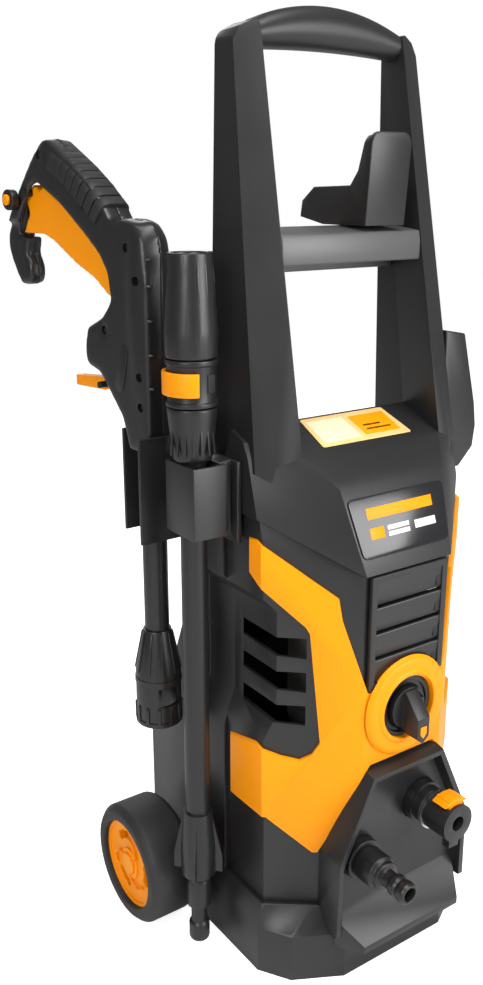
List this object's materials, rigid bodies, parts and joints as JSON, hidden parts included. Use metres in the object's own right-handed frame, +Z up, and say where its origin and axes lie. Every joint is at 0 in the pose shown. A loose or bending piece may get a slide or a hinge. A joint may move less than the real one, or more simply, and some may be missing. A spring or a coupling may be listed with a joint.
{
  "type": "pressure washer",
  "caption": "Upright electric pressure washer with wheeled base, tall handle, selector dial, hose couplings, and a spray gun and lance stored in a side holder.",
  "frame": {"origin": "middle of the flat underside of the base, on the body's plane of symmetry", "axes": "+Z up, the front with the dial and couplings faces -Y, +X to the right seen from the front"},
  "size_m": [0.3259, 0.3774, 0.7125],
  "materials": {
    "charcoal": "fine moulded texture, satin",
    "grip_plastic": "satin moulded",
    "yellow": "satin yellow-orange",
    "black_plastic": "satin black",
    "soft_grip": "soft matt",
    "tyre": "hard matt plastic tread",
    "label": "gloss label",
    "sticker": "printed film",
    "steel": "plain steel",
    "aluminium": "die cast",
    "iron": "laminated steel core"
  },
  "bodies": {
    "machine": {"hood": "charcoal", "front_cover": "charcoal", "rear_housing": "charcoal", "base_tray": "charcoal", "connection_panel": "charcoal", "handle_post_left": "charcoal", "handle_post_right": "charcoal", "handle_crossbar": "charcoal", "cord_hook": "charcoal", "tool_holder": "charcoal", "side_hook": "charcoal", "louvre_grille": "charcoal", "handle_grip": "grip_plastic", "front_shield": "yellow", "dial_plate": "black_plastic", "inlet_plug": "black_plastic", "inlet_socket": "black_plastic", "outlet_coupling": "black_plastic", "cord_gland": "black_plastic", "main_switch": "black_plastic", "label_plate": "label", "deck_sticker": "sticker", "axle": "steel", "outlet_clip": "steel", "inlet_filter": "steel", "pump_body": "aluminium", "motor_flange": "aluminium", "motor_stator": "iron"},
    "wheel_left": {"tyre_left": "tyre", "hub_left": "yellow", "hub_cap_left": "yellow"},
    "wheel_right": {"tyre_right": "tyre", "hub_right": "yellow", "hub_cap_right": "yellow"},
    "motor_shaft": {"motor_rotor": "steel", "cooling_fan": "black_plastic", "wobble_plate": "steel"},
    "piston_1": {"pump_piston_1": "steel"},
    "piston_2": {"pump_piston_2": "steel"},
    "piston_3": {"pump_piston_3": "steel"},
    "selector": {"selector_knob": "black_plastic", "knob_pointer": "yellow"},
    "release_button": {"release_button": "yellow"},
    "gun": {"gun_shell_left": "black_plastic", "gun_shell_right": "black_plastic", "grip_pads": "soft_grip", "gun_tube": "black_plastic", "gun_collar": "black_plastic", "gun_pins": "steel", "gun_screws": "steel"},
    "trigger": {"gun_trigger": "yellow"},
    "safety_catch": {"safety_catch": "yellow"},
    "gun_lock": {"gun_lock_knob": "black_plastic"},
    "lance": {"lance_tube": "black_plastic", "lance_body": "black_plastic", "lance_fitting": "black_plastic", "lance_connector": "black_plastic", "nozzle_collar": "black_plastic"},
    "nozzle": {"nozzle_head": "black_plastic"},
    "nozzle_lever": {"nozzle_lever": "yellow"}
  },
  "joints": [
    {"name": "wheel_left_spin", "type": "hinge", "parent": "machine", "child": "wheel_left", "pos_m": [-0.132, 0.075, 0.05], "axis": [1, 0, 0], "continuous": true},
    {"name": "wheel_right_spin", "type": "hinge", "parent": "machine", "child": "wheel_right", "pos_m": [0.132, 0.075, 0.05], "axis": [1, 0, 0], "continuous": true},
    {"name": "motor_spin", "type": "hinge", "parent": "machine", "child": "motor_shaft", "pos_m": [0, -0.008, 0.25], "axis": [0, 0, 1], "continuous": true},
    {"name": "selector_turn", "type": "hinge", "parent": "machine", "child": "selector", "pos_m": [0, -0.0825, 0.221], "axis": [0, 1, 0], "range_deg": [0, 90]},
    {"name": "release_press", "type": "slide", "parent": "machine", "child": "release_button", "axis": [0, 0, -1], "range_m": [0, 0.002], "stiffness_N_per_m": 400},
    {"name": "gun_lift", "type": "slide", "parent": "machine", "child": "gun", "axis": [0, 0, 1], "range_m": [0, 0.1]},
    {"name": "trigger_pull", "type": "hinge", "parent": "gun", "child": "trigger", "pos_m": [-0.14535, 0.20365, 0.588], "axis": [-0.9903, -0.1392, 0], "range_deg": [0, 6], "stiffness_Nm_per_rad": 1, "springref_deg": -5.73},
    {"name": "safety_flip", "type": "hinge", "parent": "gun", "child": "safety_catch", "pos_m": [-0.13268, 0.11353, 0.4495], "axis": [0.9903, 0.1392, 0], "range_deg": [0, 8]},
    {"name": "gun_lock_turn", "type": "hinge", "parent": "gun", "child": "gun_lock", "pos_m": [-0.16286, 0.2133, 0.583], "axis": [0.9903, 0.1392, 0], "range_deg": [0, 90]},
    {"name": "lance_lift", "type": "slide", "parent": "machine", "child": "lance", "axis": [0, 0, 1], "range_m": [0, 0.15]},
    {"name": "nozzle_turn", "type": "hinge", "parent": "lance", "child": "nozzle", "pos_m": [-0.126, 0.01, 0.5], "axis": [0, 0, 1], "range_deg": [0, 90]},
    {"name": "nozzle_lever_turn", "type": "hinge", "parent": "lance", "child": "nozzle_lever", "pos_m": [-0.126, 0.01, 0.466], "axis": [0, 0, 1], "range_deg": [0, 30]},
    {"name": "piston_1_stroke", "type": "slide", "parent": "machine", "child": "piston_1", "axis": [0, 0, 1], "range_m": [0, 0.003]},
    {"name": "piston_2_stroke", "type": "slide", "parent": "machine", "child": "piston_2", "axis": [0, 0, 1], "range_m": [0, 0.003]},
    {"name": "piston_3_stroke", "type": "slide", "parent": "machine", "child": "piston_3", "axis": [0, 0, 1], "range_m": [0, 0.003]}
  ]
}
